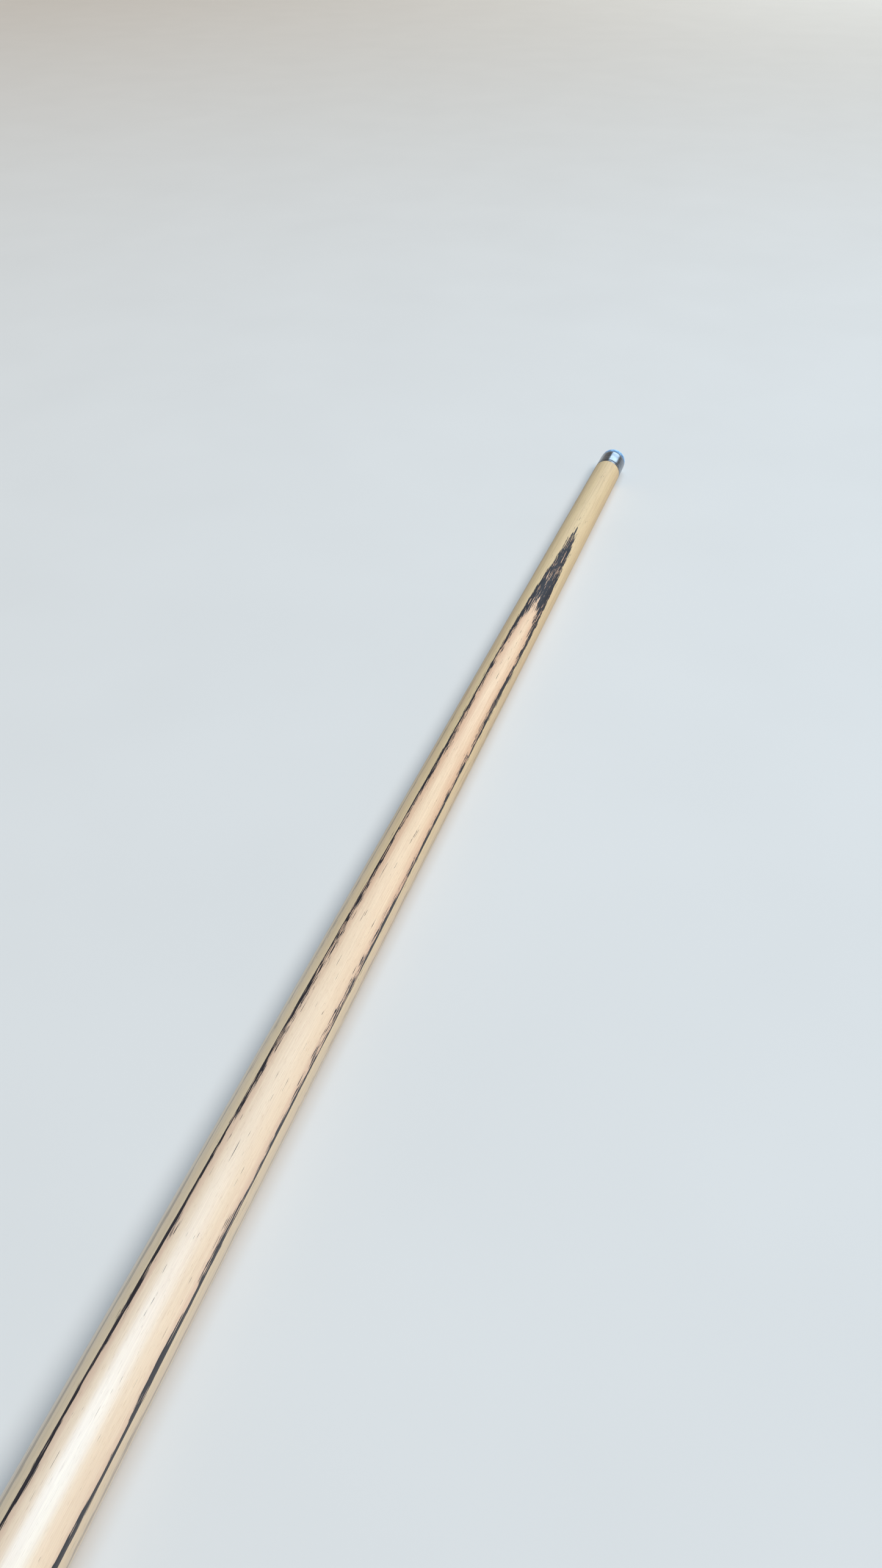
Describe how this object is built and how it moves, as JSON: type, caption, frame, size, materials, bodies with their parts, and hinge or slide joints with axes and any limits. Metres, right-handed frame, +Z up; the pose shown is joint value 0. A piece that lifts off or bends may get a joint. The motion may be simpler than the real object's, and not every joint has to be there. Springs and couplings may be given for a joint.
{
  "type": "pool cue",
  "caption": "Straight tapering ash cue with a small domed leather tip, metal ferrule, dark hand-spliced butt and a screwed brass joint.",
  "frame": {"origin": "centre of the extension socket's mouth, on the cue's axis in the plane of the butt end", "axes": "+X along the cue's axis towards the tip, +Z up through the top splice and the name plate, +Y to the left seen from the butt"},
  "size_m": [1.45, 0.029, 0.0286],
  "materials": {
    "tip_leather": "blue-chalked matt leather",
    "ferrule_metal": "polished nickel plate",
    "ash": "clear lacquered, open grain",
    "ebony": "polished near-black ebony",
    "veneer": "dyed red-brown veneer",
    "joint_brass": "polished brass",
    "weight_steel": "plain turned steel",
    "bumper_rubber": "matt black rubber",
    "badge_metal": "brushed blank plate"
  },
  "bodies": {
    "butt": {"butt_core": "ash", "butt_splice_left": "ebony", "butt_splice_top": "ebony", "butt_splice_right": "ebony", "butt_splice_bottom": "ebony", "butt_veneer_left": "veneer", "butt_veneer_top": "veneer", "butt_veneer_right": "veneer", "butt_veneer_bottom": "veneer", "butt_collar": "joint_brass", "joint_insert": "joint_brass", "weight": "weight_steel", "extension_socket": "joint_brass", "bumper": "bumper_rubber", "badge": "badge_metal"},
    "collar": {"shaft_collar": "joint_brass"},
    "shaft_section": {"tip": "tip_leather", "ferrule": "ferrule_metal", "shaft": "ash", "shaft_splice_left": "ebony", "shaft_splice_top": "ebony", "shaft_splice_right": "ebony", "shaft_splice_bottom": "ebony", "shaft_veneer_left": "veneer", "shaft_veneer_top": "veneer", "shaft_veneer_right": "veneer", "shaft_veneer_bottom": "veneer", "joint_pin": "joint_brass"}
  },
  "joints": [
    {"name": "joint_advance", "type": "slide", "parent": "butt", "child": "collar", "axis": [1, 0, 0], "range_m": [0, 0.0225]},
    {"name": "joint_unscrew", "type": "hinge", "parent": "collar", "child": "shaft_section", "pos_m": [0.406, 0, 0], "axis": [1, 0, 0], "range_deg": [0, 3241]}
  ],
  "couplings": [
    {"joint": "joint_unscrew", "follows": "joint_advance", "rad_per_m": 2513.3}
  ]
}
